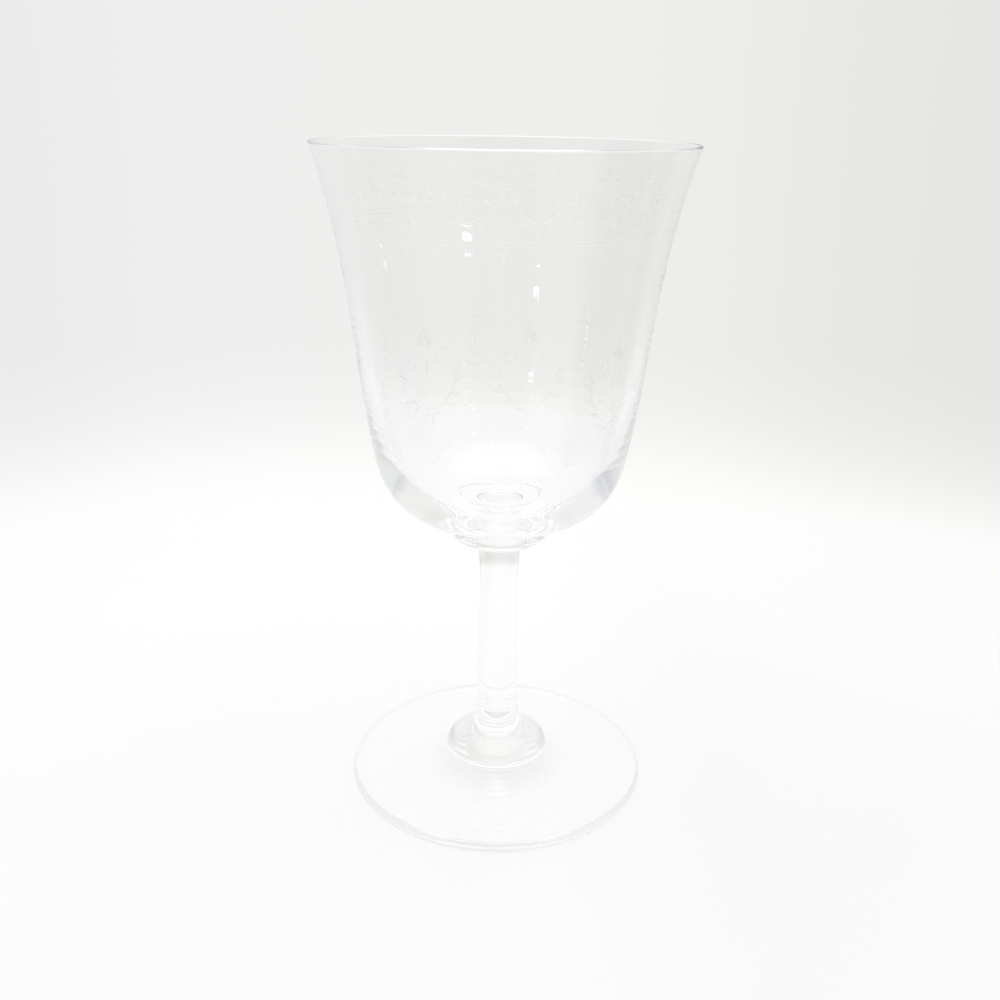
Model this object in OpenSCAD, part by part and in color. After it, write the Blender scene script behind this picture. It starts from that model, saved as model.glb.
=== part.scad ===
// Stemmed wine glass in clear crystal. A blown bowl with a flared rim stands on a
// collar, a slim solid stem, a ring and a ball knop, over a thin round foot.
// The pieces are formed one after another and fused hot, so they meet face to face.
// Millimetres, +Z up. The origin is the centre of the foot's underside.

/* [Overall] */
// Height from the table to the rim
glass_h = 160; // [152:1:172]

/* [Bowl] */
// Outer diameter of the flared rim
rim_d = 86.2; // [80:0.2:92]
// Thickness of the rounded rim
rim_wall = 0.9; // [0.7:0.1:2]
// How far the rim flares outward for each millimetre of height
rim_lean = 0.32; // [0.25:0.01:0.4]
// Outer diameter at the heel, where the belly turns up into the wall
heel_d = 61; // [58:0.5:64]
// Height of the heel above the bowl's underside
heel_h = 17.5; // [16:0.5:19]
// How far the wall leans outward at the heel for each millimetre of height
wall_lean = 0.19; // [0.15:0.01:0.25]
// Wall thickness just above the heel
heel_wall = 1.6; // [1.4:0.1:2.4]
// Thickness of the glass under the bowl's floor
floor_t = 4.2; // [3:0.1:6]

/* [Collar] */
// Diameter of the collar's rounded lip
collar_d = 23.6; // [20:0.2:26]
// Height of the collar
collar_h = 5; // [4.2:0.1:6]
// Radius of the collar's rounded lip
collar_lip_r = 2.2; // [1.6:0.1:2.3]
// Diameter of the joint between the collar and the bowl
collar_joint_d = 23.2; // [19:0.2:24]

/* [Stem] */
// Height of the plane where the stem meets the collar
stem_top_z = 66; // [60:0.5:70]
// Diameter at the foot of the stem
stem_base_d = 10.6; // [9:0.1:10.8]
// Diameter at the slimmest place, high on the stem
stem_waist_d = 9.7; // [8:0.1:11]
// Diameter of the flare that spreads under the collar
stem_flare_d = 15; // [12:0.5:18]
// Height of the ring between the stem and the knop
ring_h = 3.4; // [2.5:0.1:4.5]
// Diameter across the rounded ring
ring_d = 11.2; // [10.8:0.1:12.5]

/* [Knop] */
// Widest diameter of the knop
knop_d = 26.3; // [22:0.1:30]
// Height of the knop's widest place above the foot
knop_belly_h = 3.3; // [2.8:0.1:3.8]
// Diameter of the knop's base on the foot
knop_base_d = 16.4; // [14:0.2:18]
// Height of the knop with its short neck
knop_h = 11.6; // [10.5:0.1:13]

/* [Foot] */
// Diameter of the foot
foot_d = 76.6; // [70:0.2:84]
// Height of the foot's edge
foot_edge_h = 2.7; // [2.2:0.1:3.5]
// Height of the foot under the knop
foot_centre_h = 3.7; // [3.5:0.1:5]

/* [Hidden] */

// Smoothness of the turned surfaces, of a profile's curves and of its small roundings
$fn = 144;
curve_steps = 20;
round_steps = 8;

crystal = [0.91, 0.94, 0.95, 0.45];

// Planes where the pieces meet
ring_z = foot_centre_h + knop_h;
stem_z = ring_z + ring_h;
bowl_z = stem_top_z + collar_h;

// Points of a cubic curve from p0 to p3, without its first point
function curve(p0, p1, p2, p3) = [
    for (i = [1:curve_steps])
        let (t = i / curve_steps, u = 1 - t)
            u * u * u * p0 + 3 * u * u * t * p1 + 3 * u * t * t * p2 + t * t * t * p3
];

// Points of a round edge about a centre, with both its ends
function rounding(centre, radius, from, to) = [
    for (i = [0:round_steps])
        let (a = from + (to - from) * i / round_steps)
            centre + radius * [cos(a), sin(a)]
];

function reversed(points) = [
    for (i = [len(points) - 1:-1:0])
        points[i]
];

// Turns a half profile about the glass's axis
module turned(profile) {
    color(crystal)
        rotate_extrude()
            polygon(profile);
}

// Bowl: the outer wall runs from the collar joint round the belly to the heel, then
// rises in a long S to the rim. The inner wall thins from the floor to the rim.
rim_tilt = atan(rim_lean);
rim_centre = [rim_d / 2 - rim_wall / 2, glass_h - rim_wall / 2];
rim_lip = rounding(rim_centre, rim_wall / 2, -rim_tilt, 180 - rim_tilt);
rim_reach = 26 * [rim_lean, 1];

joint_edge = [collar_joint_d / 2, bowl_z];
outer_heel = [heel_d / 2, bowl_z + heel_h];
outer_rise = [wall_lean, 1];
outer_belly = curve(joint_edge, joint_edge + [11, 1.5], outer_heel - 10.5 * outer_rise, outer_heel);
outer_wall = curve(outer_heel, outer_heel + 26.5 * outer_rise, rim_lip[0] - rim_reach, rim_lip[0]);

floor_centre = [0, bowl_z + floor_t];
inner_heel = outer_heel + [-heel_wall, 3.5];
inner_rise = [wall_lean + 0.058, 1];
inner_floor = curve(floor_centre, floor_centre + [19, 0], inner_heel - 12.5 * inner_rise, inner_heel);
inner_rim = rim_lip[round_steps];
inner_wall = curve(inner_heel, inner_heel + 19 * inner_rise, inner_rim - rim_reach, inner_rim);
inner_side = concat([floor_centre], inner_floor, [for (i = [0:curve_steps - 2]) inner_wall[i]]);
outer_side = concat(outer_belly, [for (i = [0:curve_steps - 2]) outer_wall[i]]);

module bowl() {
    turned(concat([[0, bowl_z], joint_edge], outer_side, rim_lip, reversed(inner_side)));
}

// Collar: a disc with a rounded lip below and a short neck that meets the bowl
lip_centre = [collar_d / 2 - collar_lip_r, stem_top_z + collar_lip_r];
lip_turn = 20;
neck_foot = lip_centre + collar_lip_r * [cos(lip_turn), sin(lip_turn)];

module bowl_collar() {
    turned(concat(
        [[0, stem_top_z]],
        rounding(lip_centre, collar_lip_r, -90, lip_turn),
        curve(neck_foot, neck_foot + [-0.4, 1], joint_edge - [0.3, 0.9], joint_edge),
        [[0, bowl_z]]
    ));
}

// Stem: it tapers from the ring up to its waist, then spreads under the collar
stem_waist = [stem_waist_d / 2, stem_top_z - 10];
stem_foot = [stem_base_d / 2, stem_z];
stem_flare = [stem_flare_d / 2, stem_top_z];

module stem() {
    turned(concat(
        [[0, stem_z], stem_foot],
        curve(stem_foot, stem_foot + [-0.2, 14], stem_waist - [0, 10], stem_waist),
        curve(stem_waist, stem_waist + [0, 4], stem_flare - [2.3, 0.5], stem_flare),
        [[0, stem_top_z]]
    ));
}

// Ring: a low rounded bead between the stem and the knop
bead_step = (ring_d - stem_base_d) / 2;
bead_r = (ring_h * ring_h / 4 + bead_step * bead_step) / (2 * bead_step);
bead_half_angle = asin(ring_h / 2 / bead_r);
bead_centre = [ring_d / 2 - bead_r, ring_z + ring_h / 2];

module stem_ring() {
    turned(concat(
        [[0, ring_z]],
        rounding(bead_centre, bead_r, -bead_half_angle, bead_half_angle),
        [[0, stem_z]]
    ));
}

// Knop: a flattened ball with a short concave neck under the ring, on a narrow base
knop_neck = [stem_base_d / 2, ring_z];
knop_shoulder = [knop_neck[0] + 2.7, ring_z - 3.4];
knop_belly = [knop_d / 2, foot_centre_h + knop_belly_h];
knop_base = [knop_base_d / 2, foot_centre_h];

module foot_knop() {
    turned(concat(
        [[0, foot_centre_h], knop_base],
        curve(knop_base, knop_base + [3.6, 0.1], knop_belly - [0, 1.9], knop_belly),
        curve(knop_belly, knop_belly + [0, 2.9], knop_shoulder + [1.8, -0.8], knop_shoulder),
        curve(knop_shoulder, knop_shoulder + [-1.3, 0.7], knop_neck - [0, 1.6], knop_neck),
        [[0, ring_z]]
    ));
}

// Foot: a thin disc, a little thicker under the knop, with a soft rounded edge
foot_r = foot_d / 2;
foot_top_r = 1.2;
foot_bottom_r = 0.9;
foot_edge_lean = 12;
foot_round_step = foot_top_r - foot_bottom_r;
foot_edge_rise = foot_edge_h - foot_top_r - foot_bottom_r + foot_round_step * sin(foot_edge_lean);
foot_edge_shift = foot_round_step * cos(foot_edge_lean) + foot_edge_rise * tan(foot_edge_lean);
foot_bottom_centre = [foot_r - foot_bottom_r, foot_bottom_r];
foot_top_centre = [foot_bottom_centre[0] - foot_edge_shift, foot_edge_h - foot_top_r];

module foot() {
    turned(concat(
        [[0, 0]],
        rounding(foot_bottom_centre, foot_bottom_r, -90, foot_edge_lean),
        rounding(foot_top_centre, foot_top_r, foot_edge_lean, 88),
        [knop_base, [0, foot_centre_h]]
    ));
}

bowl();
bowl_collar();
stem();
stem_ring();
foot_knop();
foot();
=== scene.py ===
import math

import bpy
import numpy as np
from mathutils import Matrix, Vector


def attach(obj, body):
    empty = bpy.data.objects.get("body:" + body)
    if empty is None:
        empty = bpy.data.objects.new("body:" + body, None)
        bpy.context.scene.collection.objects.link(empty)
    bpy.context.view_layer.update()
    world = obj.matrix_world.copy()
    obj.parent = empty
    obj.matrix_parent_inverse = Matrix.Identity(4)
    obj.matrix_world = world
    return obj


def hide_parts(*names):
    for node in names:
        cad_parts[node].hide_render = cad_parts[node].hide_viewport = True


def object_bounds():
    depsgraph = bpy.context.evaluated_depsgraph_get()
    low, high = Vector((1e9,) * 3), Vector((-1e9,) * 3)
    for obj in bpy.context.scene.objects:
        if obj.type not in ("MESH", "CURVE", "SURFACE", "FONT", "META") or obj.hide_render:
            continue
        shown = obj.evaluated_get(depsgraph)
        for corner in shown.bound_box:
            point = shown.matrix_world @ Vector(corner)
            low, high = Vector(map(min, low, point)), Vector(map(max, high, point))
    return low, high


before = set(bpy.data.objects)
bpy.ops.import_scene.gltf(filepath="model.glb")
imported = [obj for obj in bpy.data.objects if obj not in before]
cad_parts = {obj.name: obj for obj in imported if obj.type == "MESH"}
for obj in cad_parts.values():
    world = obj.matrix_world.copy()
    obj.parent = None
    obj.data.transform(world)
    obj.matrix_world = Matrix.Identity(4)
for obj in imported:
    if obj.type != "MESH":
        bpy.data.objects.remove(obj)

cad_low, cad_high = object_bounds()
GLASS_HEIGHT = (cad_high - cad_low).z
MM = 0.001

# Camera: its place as shares of the glass's height, its tilt, its lens in mm and its nearest range in metres
CAMERA_BACK = 1.5667
CAMERA_UP = 1.0516
CAMERA_PITCH = math.radians(20.25)
CAMERA_ROLL = math.radians(0.84)
CAMERA_LENS = 38.91
CAMERA_NEAR = 0.01

# How often light may bend or bounce in the glass, and pass through clear faces
GLASS_BOUNCES = 1024
CLEAR_BOUNCES = 32

# Turned meshes: steps round the axis, the turn that counts as a real corner, the widest row spacing, the
# largest turn from row to row, the radius that counts as on the axis, and how exactly a seam's points lie
AROUND = 256
CORNER = math.radians(40)
ROW_STEP = 0.95 * MM
ROW_TURN = math.radians(5)
ON_AXIS = 1e-6
SEAM_DIGITS = 7
SEAM_REACH = 1e-7

# Studio light. The sweep runs by degrees up, its tone by how far the view turns sideways, and the tone fades
# in by degrees up. What the glass bends or mirrors has the sweep SWEEP_DROP degrees lower
SWEEP = [
    (-21, 1.0), (-19.7, 0.997), (-18.4, 0.978), (-17.2, 0.949), (-15.9, 0.911), (-14.6, 0.889),
    (-12, 0.861), (10, 0.861), (18, 0.9), (36, 0.93), (50, 0.95),
]
SWEEP_TONE = [
    (-0.4, (0.96, 0.961, 0.961)), (-0.3, (0.99, 0.99, 0.986)), (-0.2, (1.0, 1.0, 0.992)),
    (0.05, (1.0, 1.0, 0.982)), (0.12, (0.99, 0.99, 0.971)), (0.2, (0.972, 0.972, 0.953)),
    (0.28, (0.94, 0.94, 0.921)), (0.4, (0.91, 0.911, 0.893)),
]
TONE_REACH = [(-20.2, 0.3), (-19.2, 0.6), (-17.6, 1)]
SWEEP_DROP = 0.3

# How the room dims or brightens what the glass bends or mirrors, by degrees round (0 behind the glass, + to
# its right): the walls and windows, the table below them, and where the table gives way by degrees up
ROOM = [
    (-160, 0.7), (-148, 0.91), (-112, 0.91), (-102, (0.78, 0.8, 0.83)), (-84, (0.67, 0.69, 0.74)),
    (-80, (0.84, 0.86, 0.89)), (-74, (0.75, 0.77, 0.81)), (-62, 1.01), (-34, 1.01),
    (-26, (0.964, 0.964, 0.96)), (26, (0.964, 0.964, 0.96)), (36, 1.05), (62, 1.05),
    (70, (0.9, 0.94, 0.93)), (76, (0.77, 0.82, 0.81)), (80, (0.93, 0.97, 0.96)),
    (92, (0.94, 0.97, 0.96)), (106, (0.95, 0.96, 0.96)), (124, 0.9), (148, 0.9), (160, 0.7),
]
TABLE = [
    (-150, (0.97, 0.97, 0.965)), (-128, (0.97, 0.97, 0.965)), (-112, (0.8, 0.795, 0.785)),
    (-68, (0.8, 0.795, 0.785)), (-52, 1.04), (-40, 0.96), (40, 0.96), (52, 1.04),
    (68, (0.61, 0.6, 0.57)), (112, (0.61, 0.6, 0.57)), (128, (0.94, 0.93, 0.925)),
    (150, (0.94, 0.93, 0.925)),
]
TABLE_REACH = [(-16, 0), (-10, 1)]

# Light that a bright ceiling adds, by degrees up
CEILING = [(57, 0), (68, 1.1)]

# Small bright lamps: degrees round, degrees up, half width and half height in degrees, brightness
LAMPS = [
    (151, 13.7, 4.6, 0.5, 9), (151, 10.8, 4.0, 0.35, 8), (-152, 6.1, 2.8, 0.5, 9),
    (-150, 5.4, 0.9, 0.4, 4), (73, 3, 1.6, 0.8, 3),
]

# Fill lamps that light only the frosting and the floor: degrees round, degrees up, strength, and their spread
FILLS = [(-135, 35, 1.0), (135, 35, 1.0)]
FILL_SPREAD = math.radians(30)

# The floor: half its width, its gap under the glass, how much of it is lit paper, and its own glow
FLOOR_HALF = 0.22
FLOOR_GAP = 0.00002
FLOOR_PAPER = 0.1
FLOOR_GLOW = 0.855

# How the glow changes to the back, to the right, and by distance from the axis, where a soft shadow is
# painted round the knop and the glow is painted brighter under the foot. By the same distance the floor fades
# out (metres)
FLOOR_TONE = [(-0.02, 0.982), (0.05, 1.0), (0.09, 1.012)]
FLOOR_SIDE = [(0.015, 1), (0.06, 0.970)]
FLOOR_PAINTED_SHADOW_AND_LIGHT = [(0.011, 0.925), (0.020, 1.0), (0.036, 1.0), (0.0385, 0.95)]
FLOOR_FADE = [(0.10, 0), (0.20, 1)]
FLOOR_GRAIN = [(0.3, 0.994), (0.7, 1.0)]
FLOOR_GRAIN_SCALE = 18

# Crystal: its refraction, its trace of tint, its wiped patches as roughness, and its hand-blown waves. Every
# SCALE is in cycles per metre
CRYSTAL_IOR = 1.53
CRYSTAL_TINT = [(0.35, (0.996, 0.998, 0.997)), (0.65, (1.0, 1.0, 1.0))]
CRYSTAL_TINT_SCALE = 40
WIPED = [(0.55, 0.0), (0.75, 0.012)]
WIPED_SCALE = 90
WAVE_HEIGHT = 0.006 * MM
WAVE_SCALE = 110

# Etched lines: how much of the glass they veil, their refraction, whiteness, roughness and fine grain
ETCH_ALPHA = 0.1
ETCH_IOR = 1.3
FROST = [(0.3, 0.86), (0.7, 0.97)]
FROST_SCALE = 300
GRAIN = [(0.3, 0.5), (0.7, 0.8)]
GRAIN_SCALE = 2500
GRAIN_BUMP_HEIGHT = 0.005 * MM
GRAIN_BUMP_SCALE = 4000
GRAIN_BUMP_STRENGTH = 0.5

# Etched ornament: how far it stands off the glass, its layers, and where its bands lie on the bowl
ETCH_LIFT = 0.006 * MM
ETCH_LAYER = 0.012 * MM
ETCH_DEPTH = 0.008 * MM
FRIEZE_HEIGHT = 148.3 * MM
FRIEZE_TOP = 153.8 * MM
FRIEZE_WAVES = 18
BORDER_HEIGHT = 141.9 * MM
BORDER_GAP = 0.9 * MM
BORDER_HALF_WIDTH = 0.14 * MM
WREATH_HEIGHT = 91 * MM
WREATH_REPEATS = 7

# The frieze's vine swings this far from its middle, in mm. Every second drop under it is shorter
VINE_SWING = 2.0
SHORT_DROP = 0.6

# One unit of the wreath's drawing, and what is added to half the width of a long tapered stroke: in those
# units for the wreath, in mm for the frieze's vine
WREATH_UNIT = 0.85 * MM
HAIRLINE = 0.05

# Points along a leaf, a vine's wave, a wreath's stem and tendril, and a full turn of a curl
LEAF_POINTS = 9
VINE_POINTS = 14
STEM_POINTS = 24
TENDRIL_POINTS = 14
CURL_POINTS = 22

# The pieces from the foot up, each fused to the next
STACK = ["foot", "foot_knop", "stem_ring", "stem", "bowl_collar", "bowl"]


# ---------------------------------------------------------------- turned glass pieces

def seam_outline(node):
    """The half outline of a turned CAD node as (radius, height) points in order, read along its seam."""
    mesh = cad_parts[node].data
    places, place_of, index_of = [], {}, {}
    for vertex in mesh.vertices:
        if abs(vertex.co.y) < SEAM_REACH and vertex.co.x > -SEAM_REACH:
            place = (round(vertex.co.x, SEAM_DIGITS), round(vertex.co.z, SEAM_DIGITS))
            if place not in place_of:
                place_of[place] = len(places)
                places.append(place)
            index_of[vertex.index] = place_of[place]
    links = {i: set() for i in range(len(places))}
    for edge in mesh.edges:
        a, b = (index_of.get(v) for v in edge.vertices)
        if a is not None and b is not None and a != b:
            links[a].add(b)
            links[b].add(a)
    ends = [i for i in links if len(links[i]) == 1]
    order = [min(ends, key=lambda i: places[i][1])]
    while True:
        onward = [i for i in links[order[-1]] if i not in order]
        if not onward:
            return np.array([places[i] for i in order])
        order.append(onward[0])


def smooth_runs(outline):
    """The outline cut at its corners into smooth runs of points."""
    steps = np.diff(outline, axis=0)
    angles = np.unwrap(np.arctan2(steps[:, 1], steps[:, 0]))
    cuts = [i + 1 for i, turn in enumerate(np.abs(np.diff(angles))) if turn > CORNER]
    bounds = [0, *cuts, len(outline) - 1]
    return [outline[a:b + 1] for a, b in zip(bounds, bounds[1:])]


def rounded_run(run):
    """A run with a smooth curve passed through its points, in steps of at most ROW_STEP and ROW_TURN."""
    if len(run) < 3:
        return run
    padded = np.vstack([2 * run[0] - run[1], run, 2 * run[-1] - run[-2]])
    rows = [run[0]]
    for a, b, c, d in zip(padded, padded[1:], padded[2:], padded[3:]):
        span = np.linalg.norm(c - b)
        before, after = np.linalg.norm(b - a), np.linalg.norm(d - c)
        leave = ((b - a) / before * span + (c - b) * before / span) / (before + span) * span
        arrive = ((c - b) / span * after + (d - c) / after * span) / (span + after) * span
        turn = abs(math.remainder(math.atan2(*arrive[::-1]) - math.atan2(*leave[::-1]), 2 * math.pi))
        steps = max(2, math.ceil(span / ROW_STEP), math.ceil(turn / ROW_TURN))
        for i in range(1, steps + 1):
            t = i / steps
            rows.append(
                (2 * t**3 - 3 * t**2 + 1) * b + (t**3 - 2 * t**2 + t) * leave
                + (3 * t**2 - 2 * t**3) * c + (t**3 - t**2) * arrive
            )
    return np.array(rows)


def fine_outline(node):
    runs = [rounded_run(run) for run in smooth_runs(seam_outline(node))]
    return np.vstack([runs[0]] + [run[1:] for run in runs[1:]])


def capped_rows(outline, joint_radii):
    """The outline's points with a flat cap at each end that stops short of the axis, and the rows that start
    the part of a cap inside its joint's radius."""
    rows = [tuple(point) for point in outline]
    joint_rows = []
    for at_end, radius in zip((False, True), joint_radii):
        edge = rows[-1] if at_end else rows[0]
        if edge[0] < ON_AXIS:
            continue
        cap = [(radius, edge[1])] if ON_AXIS < radius < edge[0] - ON_AXIS else []
        cap.append((0.0, edge[1]))
        rows = rows + cap if at_end else cap[::-1] + rows
        if radius > ON_AXIS:
            joint_rows.append(len(rows) - 2 if at_end else 0)
    return rows, joint_rows


def turned_mesh(name, outline, joint_radii):
    """Turns an outline about +Z into a closed mesh. The joints get the second material slot."""
    rows, joint_rows = capped_rows(outline, joint_radii)
    vertices, first = [], []
    for radius, height in rows:
        first.append(len(vertices))
        if radius < ON_AXIS:
            vertices.append((0.0, 0.0, height))
        else:
            turn = [2 * math.pi * i / AROUND for i in range(AROUND)]
            vertices += [(radius * math.cos(a), radius * math.sin(a), height) for a in turn]
    faces, slots = [], []
    for row in range(len(rows) - 1):
        low_point = rows[row][0] < ON_AXIS
        high_point = rows[row + 1][0] < ON_AXIS
        for i in range(AROUND):
            j = (i + 1) % AROUND
            low = [first[row]] if low_point else [first[row] + i, first[row] + j]
            high = [first[row + 1]] if high_point else [first[row + 1] + j, first[row + 1] + i]
            faces.append(low + high)
            slots.append(1 if row in joint_rows else 0)
    mesh = bpy.data.meshes.new(name)
    mesh.from_pydata(vertices, [], faces)
    mesh.update()
    mesh.polygons.foreach_set("material_index", slots)
    mesh.shade_smooth()
    mesh.set_sharp_from_angle(angle=CORNER)
    return mesh


def glass_piece(node, joint_radii, crystal, joint):
    mesh = turned_mesh(node + "_glass", fine_outline(node), joint_radii)
    mesh.materials.append(crystal)
    mesh.materials.append(joint)
    piece = bpy.data.objects.new(node + "_glass", mesh)
    bpy.context.scene.collection.objects.link(piece)
    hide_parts(node)
    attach(piece, "root")


# ---------------------------------------------------------------- etched ornament

def outer_wall():
    """The bowl's outer wall, collar to rim: length along the wall, radius, height and outward slope."""
    outline = fine_outline("bowl")
    wall = outline[: int(np.argmax(outline[:, 0])) + 1]
    along = np.concatenate([[0], np.cumsum(np.linalg.norm(np.diff(wall, axis=0), axis=1))])
    rise = np.gradient(wall, along, axis=0)
    return along, wall[:, 0], wall[:, 1], np.arctan2(rise[:, 0], rise[:, 1])


def length_at(wall, height):
    return float(np.interp(height, wall[2], wall[0]))


def on_wall(wall, turn, along, lift):
    """Places on the wall, lifted off the glass. Turn is in radians, along is the length up the wall."""
    radius, height, lean = (np.interp(along, wall[0], row) for row in wall[1:])
    radius = radius + lift * np.cos(lean)
    height = height - lift * np.sin(lean)
    return np.stack([radius * np.cos(turn), radius * np.sin(turn), height], axis=-1)


def add_stroke(solids, wall, centre, path, half_width, layer):
    """One thin closed strip along a path of (across, up) points round a place on the wall, in metres."""
    turn0, along0 = centre
    path = np.asarray(path, float)
    ahead = np.gradient(path, axis=0)
    ahead = ahead / np.linalg.norm(ahead, axis=1)[:, None]
    side = np.stack([-ahead[:, 1], ahead[:, 0]], axis=-1) * half_width[:, None]
    reference = float(np.interp(along0, wall[0], wall[1]))
    rows = []
    for edge, lift in ((side, 0), (-side, 0), (-side, 1), (side, 1)):
        place = path + edge
        height = ETCH_LIFT + layer * ETCH_LAYER + lift * ETCH_DEPTH
        rows.append(on_wall(wall, turn0 + place[:, 0] / reference, along0 + place[:, 1], height))
    add_tube(solids, rows, False)


def add_tube(solids, rows, closed):
    """Joins four rows of points into a thin closed solid: a ring when closed, else a strip with ends."""
    points = np.stack(rows, axis=1)
    vertices, faces = solids
    base, count = len(vertices), len(points)
    vertices.extend(map(tuple, points.reshape(-1, 3)))
    for i in range(count if closed else count - 1):
        here, there = base + 4 * i, base + 4 * ((i + 1) % count)
        for k in range(4):
            n = (k + 1) % 4
            faces.append((here + k, here + n, there + n, there + k))
    if not closed:
        last = base + 4 * (count - 1)
        faces.append((base + 3, base + 2, base + 1, base))
        faces.append((last, last + 1, last + 2, last + 3))


def taper(count, half_width):
    """Half widths of a stroke that swells in its middle and ends fine."""
    t = np.linspace(0, 1, count)
    return half_width * np.maximum(np.sin(math.pi * t) ** 0.8, 0.08)


def leaf(foot, heading, length, bend=0.0):
    """A leaf's centre line from its foot, heading in degrees, bent sideways by a share of its length."""
    t = np.linspace(0, 1, LEAF_POINTS)
    a = math.radians(heading)
    forward, aside = np.array([math.cos(a), math.sin(a)]), np.array([-math.sin(a), math.cos(a)])
    sway = np.sin(math.pi * t / 2) ** 2 * bend * length
    return np.array(foot) + np.outer(t * length, forward) + np.outer(sway, aside)


def curl(centre, start, radius, turns, hand):
    """A spiral that winds in to its centre. Start is its first direction in degrees."""
    count = int(CURL_POINTS * turns)
    t = np.linspace(0, 1, count)
    angle = math.radians(start) + hand * 2 * math.pi * turns * t
    reach = radius * (1 - 0.86 * t)
    return np.array(centre) + np.stack([reach * np.cos(angle), reach * np.sin(angle)], axis=-1)


def bow(p0, p1, p2, p3, count):
    """A cubic curve from p0 to p3."""
    t = np.linspace(0, 1, count)[:, None]
    p0, p1, p2, p3 = (np.array(p, float) for p in (p0, p1, p2, p3))
    return (1 - t)**3 * p0 + 3 * (1 - t)**2 * t * p1 + 3 * (1 - t) * t**2 * p2 + t**3 * p3


def mirrored(path, hand):
    return np.asarray(path) * [hand, 1]


def add_leaf(solids, wall, centre, path, half_width, layer):
    add_stroke(solids, wall, centre, path, taper(LEAF_POINTS, half_width), layer)


def add_border(solids, wall, height, half_width):
    """A fine line right round the bowl."""
    turns = np.linspace(0, 2 * math.pi, AROUND, endpoint=False)
    along = length_at(wall, height)
    high = ETCH_LIFT + ETCH_DEPTH
    edges = ((half_width, ETCH_LIFT), (-half_width, ETCH_LIFT), (-half_width, high), (half_width, high))
    rows = [on_wall(wall, turns, along + edge + 0 * turns, lift) for edge, lift in edges]
    add_tube(solids, rows, True)


def add_vine_wave(solids, wall, centre, half, hand):
    """Half a wave of the vine, with its curl, its three leaves and the dot that ends it."""
    t = np.linspace(-0.5, 0.5, VINE_POINTS)
    vine = np.stack([t * half * 0.96, hand * VINE_SWING * MM * np.cos(math.pi * t)], axis=-1)
    add_stroke(solids, wall, centre, vine, taper(VINE_POINTS, 0.2 * MM) + HAIRLINE * MM, 0)
    spiral = curl((0, -hand * 1.3 * MM), 90 * hand, 2.0 * MM, 1.25, hand)
    add_stroke(solids, wall, centre, spiral, taper(len(spiral), 0.17 * MM), 1)
    for share, heading, length in ((-0.34, 125, 2.2), (-0.05, 78, 2.6), (0.25, 40, 2.2)):
        foot = (share * half, hand * (VINE_SWING * math.cos(math.pi * share) + 0.35) * MM)
        path = leaf(foot, hand * heading, length * MM, 0.22 * hand)
        add_leaf(solids, wall, centre, path, 0.42 * MM, 1)
    dot = leaf((half * 0.5 - 0.3 * MM, 0), 0, 0.6 * MM)
    add_leaf(solids, wall, centre, dot, 0.3 * MM, 2)


def add_drop(solids, wall, centre, long):
    """A small drop under the border: a leaf, two side leaves and a dot, stretched by long."""
    add_leaf(solids, wall, centre, leaf((0, -0.6 * MM), -90, 2.6 * long * MM), 0.36 * MM, 0)
    for hand in (-1, 1):
        path = leaf((0.35 * MM, -0.5 * MM), -40, 1.9 * long * MM, -0.3)
        add_leaf(solids, wall, centre, mirrored(path, hand), 0.26 * MM, 1)
    add_leaf(solids, wall, centre, leaf((0, -3.9 * long * MM), -90, 0.7 * MM), 0.28 * MM, 0)


def add_frieze(solids, wall):
    """A running vine with curls and leaves under the rim, over a fine border with small drops."""
    middle = length_at(wall, FRIEZE_HEIGHT)
    radius = float(np.interp(middle, wall[0], wall[1]))
    half = math.pi * radius / FRIEZE_WAVES
    for wave in range(2 * FRIEZE_WAVES):
        centre = (wave * math.pi / FRIEZE_WAVES, middle)
        add_vine_wave(solids, wall, centre, half, 1 if wave % 2 else -1)
    border = length_at(wall, BORDER_HEIGHT)
    for drop in range(2 * FRIEZE_WAVES):
        centre = (drop * math.pi / FRIEZE_WAVES, border)
        add_drop(solids, wall, centre, 1.0 if drop % 2 else SHORT_DROP)


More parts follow.
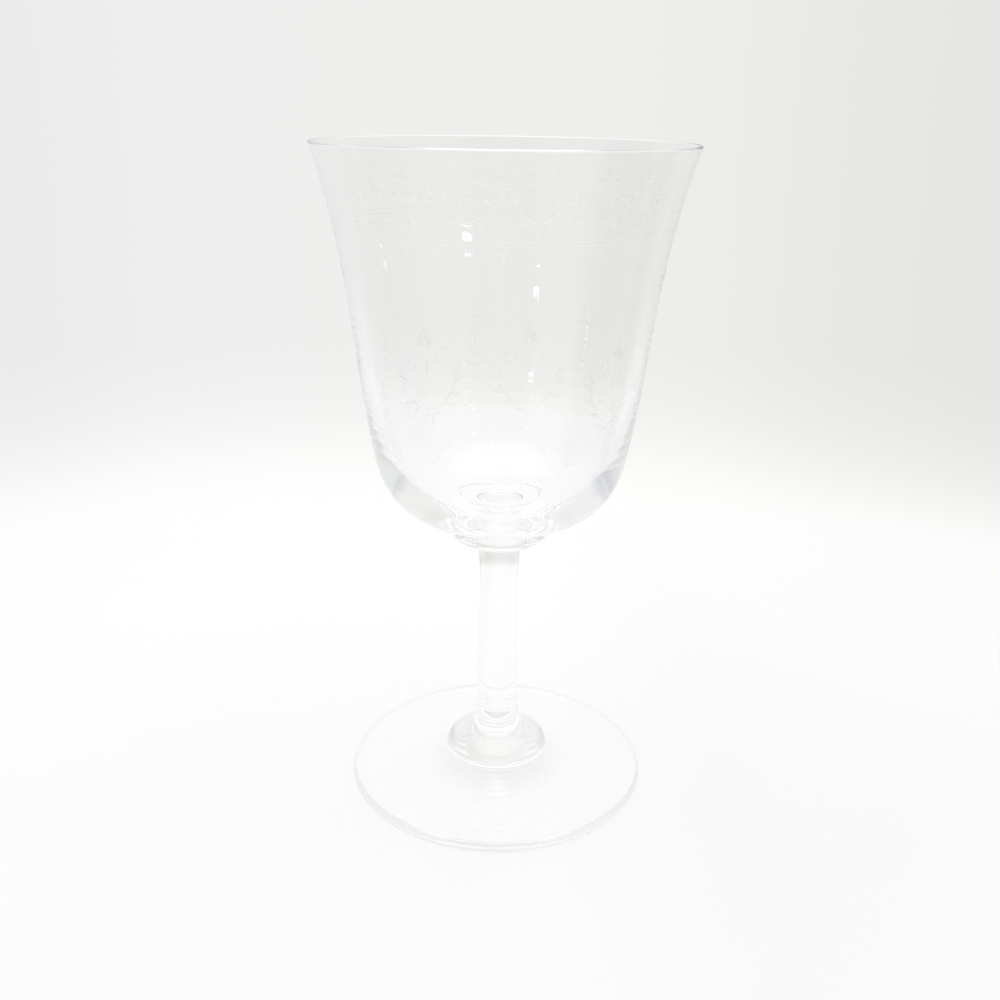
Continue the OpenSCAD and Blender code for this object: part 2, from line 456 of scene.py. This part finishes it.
def add_scroll(solids, wall, centre, hand):
    """One side of a wreath: a leafy stem that ends in a spiral, a tendril with a small curl, outer leaves."""
    mm = WREATH_UNIT
    stem = bow((0.5 * mm, 0), (8.5 * mm, 1.5 * mm), (11.4 * mm, 9 * mm), (9.6 * mm, 15.3 * mm), STEM_POINTS)
    width = taper(STEM_POINTS, 0.32 * mm) + HAIRLINE * mm
    add_stroke(solids, wall, centre, mirrored(stem, hand), width, 0)
    spiral = curl((6.1 * mm, 15.6 * mm), 0, 3.4 * mm, 1.45, 1)
    add_stroke(solids, wall, centre, mirrored(spiral, hand), taper(len(spiral), 0.3 * mm), 1)
    ends = (5.0 * mm, 2.4 * mm), (5.6 * mm, 5.5 * mm), (3.6 * mm, 8.4 * mm), (1.6 * mm, 7.6 * mm)
    inner = bow(*ends, TENDRIL_POINTS)
    add_stroke(solids, wall, centre, mirrored(inner, hand), taper(TENDRIL_POINTS, 0.24 * mm), 1)
    small = curl((2.4 * mm, 6.0 * mm), 115, 1.75 * mm, 1.2, 1)
    add_stroke(solids, wall, centre, mirrored(small, hand), taper(len(small), 0.2 * mm), 2)
    for share, heading, length in ((0.22, -48, 3.0), (0.42, -15, 3.4), (0.62, 20, 3.4), (0.82, 52, 3.0)):
        at = stem[int(share * (STEM_POINTS - 1))]
        path = leaf(at + [0.35 * mm, 0], heading, length * mm, 0.25)
        add_leaf(solids, wall, centre, mirrored(path, hand), 0.55 * mm, 1)
    for share, heading, length in ((0.3, 62, 2.6), (0.72, 128, 2.4)):
        at = stem[int(share * (STEM_POINTS - 1))]
        path = leaf(at + [-0.35 * mm, 0.2 * mm], heading, length * mm, -0.25)
        add_leaf(solids, wall, centre, mirrored(path, hand), 0.45 * mm, 2)
    for heading, length in ((62, 5.0), (32, 4.0)):
        path = leaf((0.5 * mm, 19.5 * mm), heading, length * mm, 0.25)
        add_leaf(solids, wall, centre, mirrored(path, hand), 0.6 * mm, 1)
    path = leaf((0.4 * mm, -1.0 * mm), -28, 3.4 * mm, 0.3)
    add_leaf(solids, wall, centre, mirrored(path, hand), 0.5 * mm, 1)


def add_sprig(solids, wall, centre):
    """An upright sprig with six pairs of leaves that shorten to its tip."""
    mm = WREATH_UNIT
    width = taper(LEAF_POINTS, 0.16 * mm) + HAIRLINE * mm
    add_stroke(solids, wall, centre, leaf((0, 10.5 * mm), 90, 20 * mm), width, 0)
    for step in range(6):
        for hand in (-1, 1):
            path = leaf((0.3 * mm, (12.5 + 3 * step) * mm), 52, (2.9 - 0.25 * step) * mm, -0.25)
            add_leaf(solids, wall, centre, mirrored(path, hand), 0.42 * mm, 1)
    add_leaf(solids, wall, centre, leaf((0, 30.6 * mm), 90, 2.8 * mm), 0.42 * mm, 1)


def add_wreath(solids, wall):
    """Paired scrolls with leaves round the belly, with an upright sprig between each pair."""
    foot = length_at(wall, WREATH_HEIGHT)
    mm = WREATH_UNIT
    for repeat in range(WREATH_REPEATS):
        centre = ((repeat + 0.5) * 2 * math.pi / WREATH_REPEATS, foot)
        for hand in (-1, 1):
            add_scroll(solids, wall, centre, hand)
        add_leaf(solids, wall, centre, leaf((0, 20.2 * mm), 90, 6.6 * mm), 0.65 * mm, 1)
        add_leaf(solids, wall, centre, leaf((0, 10.4 * mm), 90, 6.4 * mm), 0.5 * mm, 1)
        add_leaf(solids, wall, centre, leaf((0, -1.4 * mm), -90, 4.0 * mm), 0.55 * mm, 1)
        add_sprig(solids, wall, (repeat * 2 * math.pi / WREATH_REPEATS, foot))


def make_ornament():
    wall = outer_wall()
    solids = ([], [])
    add_frieze(solids, wall)
    add_wreath(solids, wall)
    for height in (BORDER_HEIGHT, BORDER_HEIGHT + BORDER_GAP, FRIEZE_TOP):
        add_border(solids, wall, height, BORDER_HALF_WIDTH)
    mesh = bpy.data.meshes.new("etched_ornament")
    mesh.from_pydata(solids[0], [], solids[1])
    mesh.update()
    mesh.materials.append(etched_material())
    ornament = bpy.data.objects.new("etched_ornament", mesh)
    bpy.context.scene.collection.objects.link(ornament)
    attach(ornament, "root")


# ---------------------------------------------------------------- materials

def new_material(name):
    material = bpy.data.materials.new(name)
    material.use_nodes = True
    tree = material.node_tree
    tree.nodes.clear()
    return material, tree, tree.nodes.new("ShaderNodeOutputMaterial")


def noise_node(tree, scale, detail=2.0):
    """Soft noise fixed to the piece, as a value from 0 to 1. Scale is in cycles per metre."""
    place = tree.nodes.new("ShaderNodeTexCoord")
    noise = tree.nodes.new("ShaderNodeTexNoise")
    noise.inputs["Scale"].default_value = scale
    noise.inputs["Detail"].default_value = detail
    tree.links.new(place.outputs["Object"], noise.inputs["Vector"])
    return noise.outputs["Fac"]


def bump_node(tree, height, distance, strength):
    node = tree.nodes.new("ShaderNodeBump")
    node.inputs["Distance"].default_value = distance
    node.inputs["Strength"].default_value = strength
    tree.links.new(height, node.inputs["Height"])
    return node.outputs[0]


def crystal_material():
    """Clear crystal: hand-blown waviness, a trace of tint and a few faint wiped patches."""
    material, tree, output = new_material("crystal")
    shader = tree.nodes.new("ShaderNodeBsdfPrincipled")
    tint = ramp_node(tree, noise_node(tree, CRYSTAL_TINT_SCALE), CRYSTAL_TINT)
    tree.links.new(tint, shader.inputs["Base Color"])
    wiped = ramp_node(tree, noise_node(tree, WIPED_SCALE, 4), WIPED)
    tree.links.new(wiped, shader.inputs["Roughness"])
    waves = bump_node(tree, noise_node(tree, WAVE_SCALE), WAVE_HEIGHT, 1)
    tree.links.new(waves, shader.inputs["Normal"])
    shader.inputs["IOR"].default_value = CRYSTAL_IOR
    shader.inputs["Transmission Weight"].default_value = 1
    tree.links.new(shader.outputs[0], output.inputs["Surface"])
    return material


def etched_material():
    """Frosted lines, a touch whiter than the glass round them and a little worn in places."""
    material, tree, output = new_material("etched_crystal")
    shader = tree.nodes.new("ShaderNodeBsdfPrincipled")
    frost = ramp_node(tree, noise_node(tree, FROST_SCALE, 4), FROST)
    tree.links.new(frost, shader.inputs["Base Color"])
    grain = ramp_node(tree, noise_node(tree, GRAIN_SCALE), GRAIN)
    tree.links.new(grain, shader.inputs["Roughness"])
    pits = noise_node(tree, GRAIN_BUMP_SCALE)
    bump = bump_node(tree, pits, GRAIN_BUMP_HEIGHT, GRAIN_BUMP_STRENGTH)
    tree.links.new(bump, shader.inputs["Normal"])
    shader.inputs["IOR"].default_value = ETCH_IOR
    shader.inputs["Alpha"].default_value = ETCH_ALPHA
    tree.links.new(shader.outputs[0], output.inputs["Surface"])
    return material


def joint_material():
    """Nothing to see: light passes straight through the faces where two pieces are fused."""
    material, tree, output = new_material("fused_joint")
    shader = tree.nodes.new("ShaderNodeBsdfTransparent")
    tree.links.new(shader.outputs[0], output.inputs["Surface"])
    return material


# ---------------------------------------------------------------- studio

def make_camera():
    data = bpy.data.cameras.new("camera")
    data.lens = CAMERA_LENS
    data.clip_start = CAMERA_NEAR
    camera = bpy.data.objects.new("camera", data)
    camera.location = (0, -CAMERA_BACK * GLASS_HEIGHT, CAMERA_UP * GLASS_HEIGHT)
    tilt = Matrix.Rotation(math.pi / 2 - CAMERA_PITCH, 4, "X") @ Matrix.Rotation(CAMERA_ROLL, 4, "Z")
    camera.rotation_euler = tilt.to_euler()
    bpy.context.scene.collection.objects.link(camera)
    bpy.context.scene.camera = camera


def math_node(tree, operation, a, b=None):
    node = tree.nodes.new("ShaderNodeMath")
    node.operation = operation
    for socket, value in zip(node.inputs, (a, b)):
        if isinstance(value, (int, float)):
            socket.default_value = value
        elif value is not None:
            tree.links.new(value, socket)
    return node.outputs[0]


def length_node(tree, a, b):
    squares = (math_node(tree, "MULTIPLY", a, a), math_node(tree, "MULTIPLY", b, b))
    return math_node(tree, "SQRT", math_node(tree, "ADD", *squares))


def ramp_node(tree, factor, stops):
    """A colour ramp: stops are (place, brightness) or (place, (red, green, blue))."""
    node = tree.nodes.new("ShaderNodeValToRGB")
    tree.links.new(factor, node.inputs[0])
    elements = node.color_ramp.elements
    while len(elements) < len(stops):
        elements.new(1)
    for element, (place, colour) in zip(elements, stops):
        element.position = place
        element.color = (*colour, 1) if isinstance(colour, tuple) else (colour, colour, colour, 1)
    return node.outputs[0]


def height_share(degrees_up):
    return (degrees_up + 90) / 180


def turn_share(degrees):
    """Place on a ramp that runs once round the horizon: 0 is behind the glass, + is to its right."""
    return (degrees + 180) / 360


def up_ramp(tree, up, stops):
    return ramp_node(tree, up, [(height_share(degrees), value) for degrees, value in stops])


def turn_ramp(tree, turn, stops):
    return ramp_node(tree, turn, [(turn_share(degrees), value) for degrees, value in stops])


def lamp_spot(tree, turn, up, lamp):
    """A small oval lamp in the room, as a brightness that fades over the outer half of the oval."""
    turn_at, up_at, half_width, half_height, brightness = lamp
    turned = math_node(tree, "SUBTRACT", turn, turn_share(turn_at))
    raised = math_node(tree, "SUBTRACT", up, height_share(up_at))
    across = math_node(tree, "DIVIDE", turned, half_width / 360)
    along = math_node(tree, "DIVIDE", raised, half_height / 180)
    inside = math_node(tree, "SUBTRACT", 1, length_node(tree, across, along))
    soft = math_node(tree, "MINIMUM", math_node(tree, "MAXIMUM", inside, 0), 0.5)
    return math_node(tree, "MULTIPLY", soft, 2 * brightness)


def mixed(tree, blend, factor, a, b):
    node = tree.nodes.new("ShaderNodeMix")
    node.data_type = "RGBA"
    node.blend_type = blend
    if isinstance(factor, (int, float)):
        node.inputs["Factor"].default_value = factor
    else:
        tree.links.new(factor, node.inputs["Factor"])
    tree.links.new(a, node.inputs["A"])
    tree.links.new(b, node.inputs["B"])
    return node.outputs["Result"]


def look_shares(tree):
    """Where a ray looks, as shares from 0 to 1: up, round the horizon, and to the side."""
    place = tree.nodes.new("ShaderNodeTexCoord")
    split = tree.nodes.new("ShaderNodeSeparateXYZ")
    tree.links.new(place.outputs["Generated"], split.inputs[0])
    x, y, z = split.outputs
    rise = math_node(tree, "DIVIDE", math_node(tree, "ARCSINE", z), math.pi)
    spin = math_node(tree, "DIVIDE", math_node(tree, "ARCTAN2", x, y), 2 * math.pi)
    aside = math_node(tree, "MULTIPLY", x, 0.5)
    return [math_node(tree, "ADD", share, 0.5) for share in (rise, spin, aside)]


def make_world():
    """A pale sweep for the camera. The glass bends and mirrors the same sweep, but set in a room with walls,
    windows, a table, a bright ceiling and small lamps."""
    world = bpy.data.worlds.new("studio")
    bpy.context.scene.world = world
    world.use_nodes = True
    tree = world.node_tree
    tree.nodes.clear()
    output = tree.nodes.new("ShaderNodeOutputWorld")
    up, turn, side = look_shares(tree)
    sweep = up_ramp(tree, up, SWEEP)
    mirrored_sweep = up_ramp(tree, math_node(tree, "ADD", up, SWEEP_DROP / 180), SWEEP)
    tone = ramp_node(tree, side, [((1 + s) / 2, colour) for s, colour in SWEEP_TONE])
    tone_reach = up_ramp(tree, up, TONE_REACH)
    seen = mixed(tree, "MULTIPLY", tone_reach, sweep, tone)
    mirrored_seen = mixed(tree, "MULTIPLY", tone_reach, mirrored_sweep, tone)
    table, walls = turn_ramp(tree, turn, TABLE), turn_ramp(tree, turn, ROOM)
    room = mixed(tree, "MIX", up_ramp(tree, up, TABLE_REACH), table, walls)
    around = mixed(tree, "MULTIPLY", 1, mirrored_seen, room)
    around = mixed(tree, "ADD", 1, around, up_ramp(tree, up, CEILING))
    for lamp in LAMPS:
        around = mixed(tree, "ADD", 1, around, lamp_spot(tree, turn, up, lamp))
    path = tree.nodes.new("ShaderNodeLightPath")
    colour = mixed(tree, "MIX", path.outputs["Is Camera Ray"], around, seen)
    shader = tree.nodes.new("ShaderNodeBackground")
    tree.links.new(colour, shader.inputs["Color"])
    tree.links.new(shader.outputs[0], output.inputs["Surface"])


def floor_material():
    """White paper that mostly glows, so that it stays pale, and fades into the sweep away from the glass."""
    material, tree, output = new_material("white_floor")
    place = tree.nodes.new("ShaderNodeNewGeometry")
    split = tree.nodes.new("ShaderNodeSeparateXYZ")
    tree.links.new(place.outputs["Position"], split.inputs[0])
    x, y = split.outputs[:2]
    reach = length_node(tree, x, y)
    fade = ramp_node(tree, reach, FLOOR_FADE)
    paper = tree.nodes.new("ShaderNodeBsdfDiffuse")
    paper.inputs["Color"].default_value = (FLOOR_PAPER, FLOOR_PAPER, FLOOR_PAPER, 1)
    glow = tree.nodes.new("ShaderNodeEmission")
    glow.inputs["Strength"].default_value = FLOOR_GLOW / FLOOR_PAINTED_SHADOW_AND_LIGHT[-1][1]
    side = ramp_node(tree, math_node(tree, "ADD", x, 0.5), [(0.5 + px, grey) for px, grey in FLOOR_SIDE])
    near = ramp_node(tree, math_node(tree, "ADD", y, 0.5), [(0.5 + py, grey) for py, grey in FLOOR_TONE])
    grain = ramp_node(tree, noise_node(tree, FLOOR_GRAIN_SCALE, 5), FLOOR_GRAIN)
    # Painted soft shadow round the knop and painted brightening of the glow under the foot, by distance from
    # the axis
    painted_shadow_and_light = ramp_node(tree, reach, FLOOR_PAINTED_SHADOW_AND_LIGHT)
    tone = grain
    for shade in (side, near, painted_shadow_and_light):
        tone = mixed(tree, "MULTIPLY", 1, tone, shade)
    tree.links.new(tone, glow.inputs["Color"])
    white = tree.nodes.new("ShaderNodeAddShader")
    tree.links.new(paper.outputs[0], white.inputs[0])
    tree.links.new(glow.outputs[0], white.inputs[1])
    clear = tree.nodes.new("ShaderNodeBsdfTransparent")
    mix = tree.nodes.new("ShaderNodeMixShader")
    tree.links.new(fade, mix.inputs[0])
    tree.links.new(white.outputs[0], mix.inputs[1])
    tree.links.new(clear.outputs[0], mix.inputs[2])
    tree.links.new(mix.outputs[0], output.inputs["Surface"])
    return material


def make_floor():
    mesh = bpy.data.meshes.new("floor")
    corners = [(x * FLOOR_HALF, y * FLOOR_HALF, 0) for x, y in ((-1, -1), (1, -1), (1, 1), (-1, 1))]
    mesh.from_pydata(corners, [], [(0, 1, 2, 3)])
    mesh.materials.append(floor_material())
    floor = bpy.data.objects.new("floor", mesh)
    floor.location.z = cad_low.z - FLOOR_GAP
    bpy.context.scene.collection.objects.link(floor)


def make_fills():
    for number, (turn, up, strength) in enumerate(FILLS):
        data = bpy.data.lights.new(f"fill_{number}", "SUN")
        data.energy = strength
        data.angle = FILL_SPREAD
        data.use_shadow = False
        fill = bpy.data.objects.new(f"fill_{number}", data)
        fill.rotation_euler = (math.radians(90 - up), 0, math.radians(180 - turn))
        fill.visible_glossy = fill.visible_transmission = False
        bpy.context.scene.collection.objects.link(fill)


def cap_radius(node, at_top):
    return seam_outline(node)[-1 if at_top else 0][0]


def make_glass():
    crystal = crystal_material()
    joint = joint_material()
    pairs = zip(STACK, STACK[1:])
    joints = [min(cap_radius(below, True), cap_radius(above, False)) for below, above in pairs]
    for node, painted_shadow_and_light, over in zip(STACK, [0.0, *joints], [*joints, 0.0]):
        glass_piece(node, (painted_shadow_and_light, over), crystal, joint)


scene = bpy.context.scene
scene.view_settings.view_transform = "Standard"
scene.cycles.max_bounces = GLASS_BOUNCES
scene.cycles.transmission_bounces = GLASS_BOUNCES
scene.cycles.transparent_max_bounces = CLEAR_BOUNCES
scene.cycles.glossy_bounces = GLASS_BOUNCES
make_camera()
make_world()
make_floor()
make_fills()
make_glass()
make_ornament()
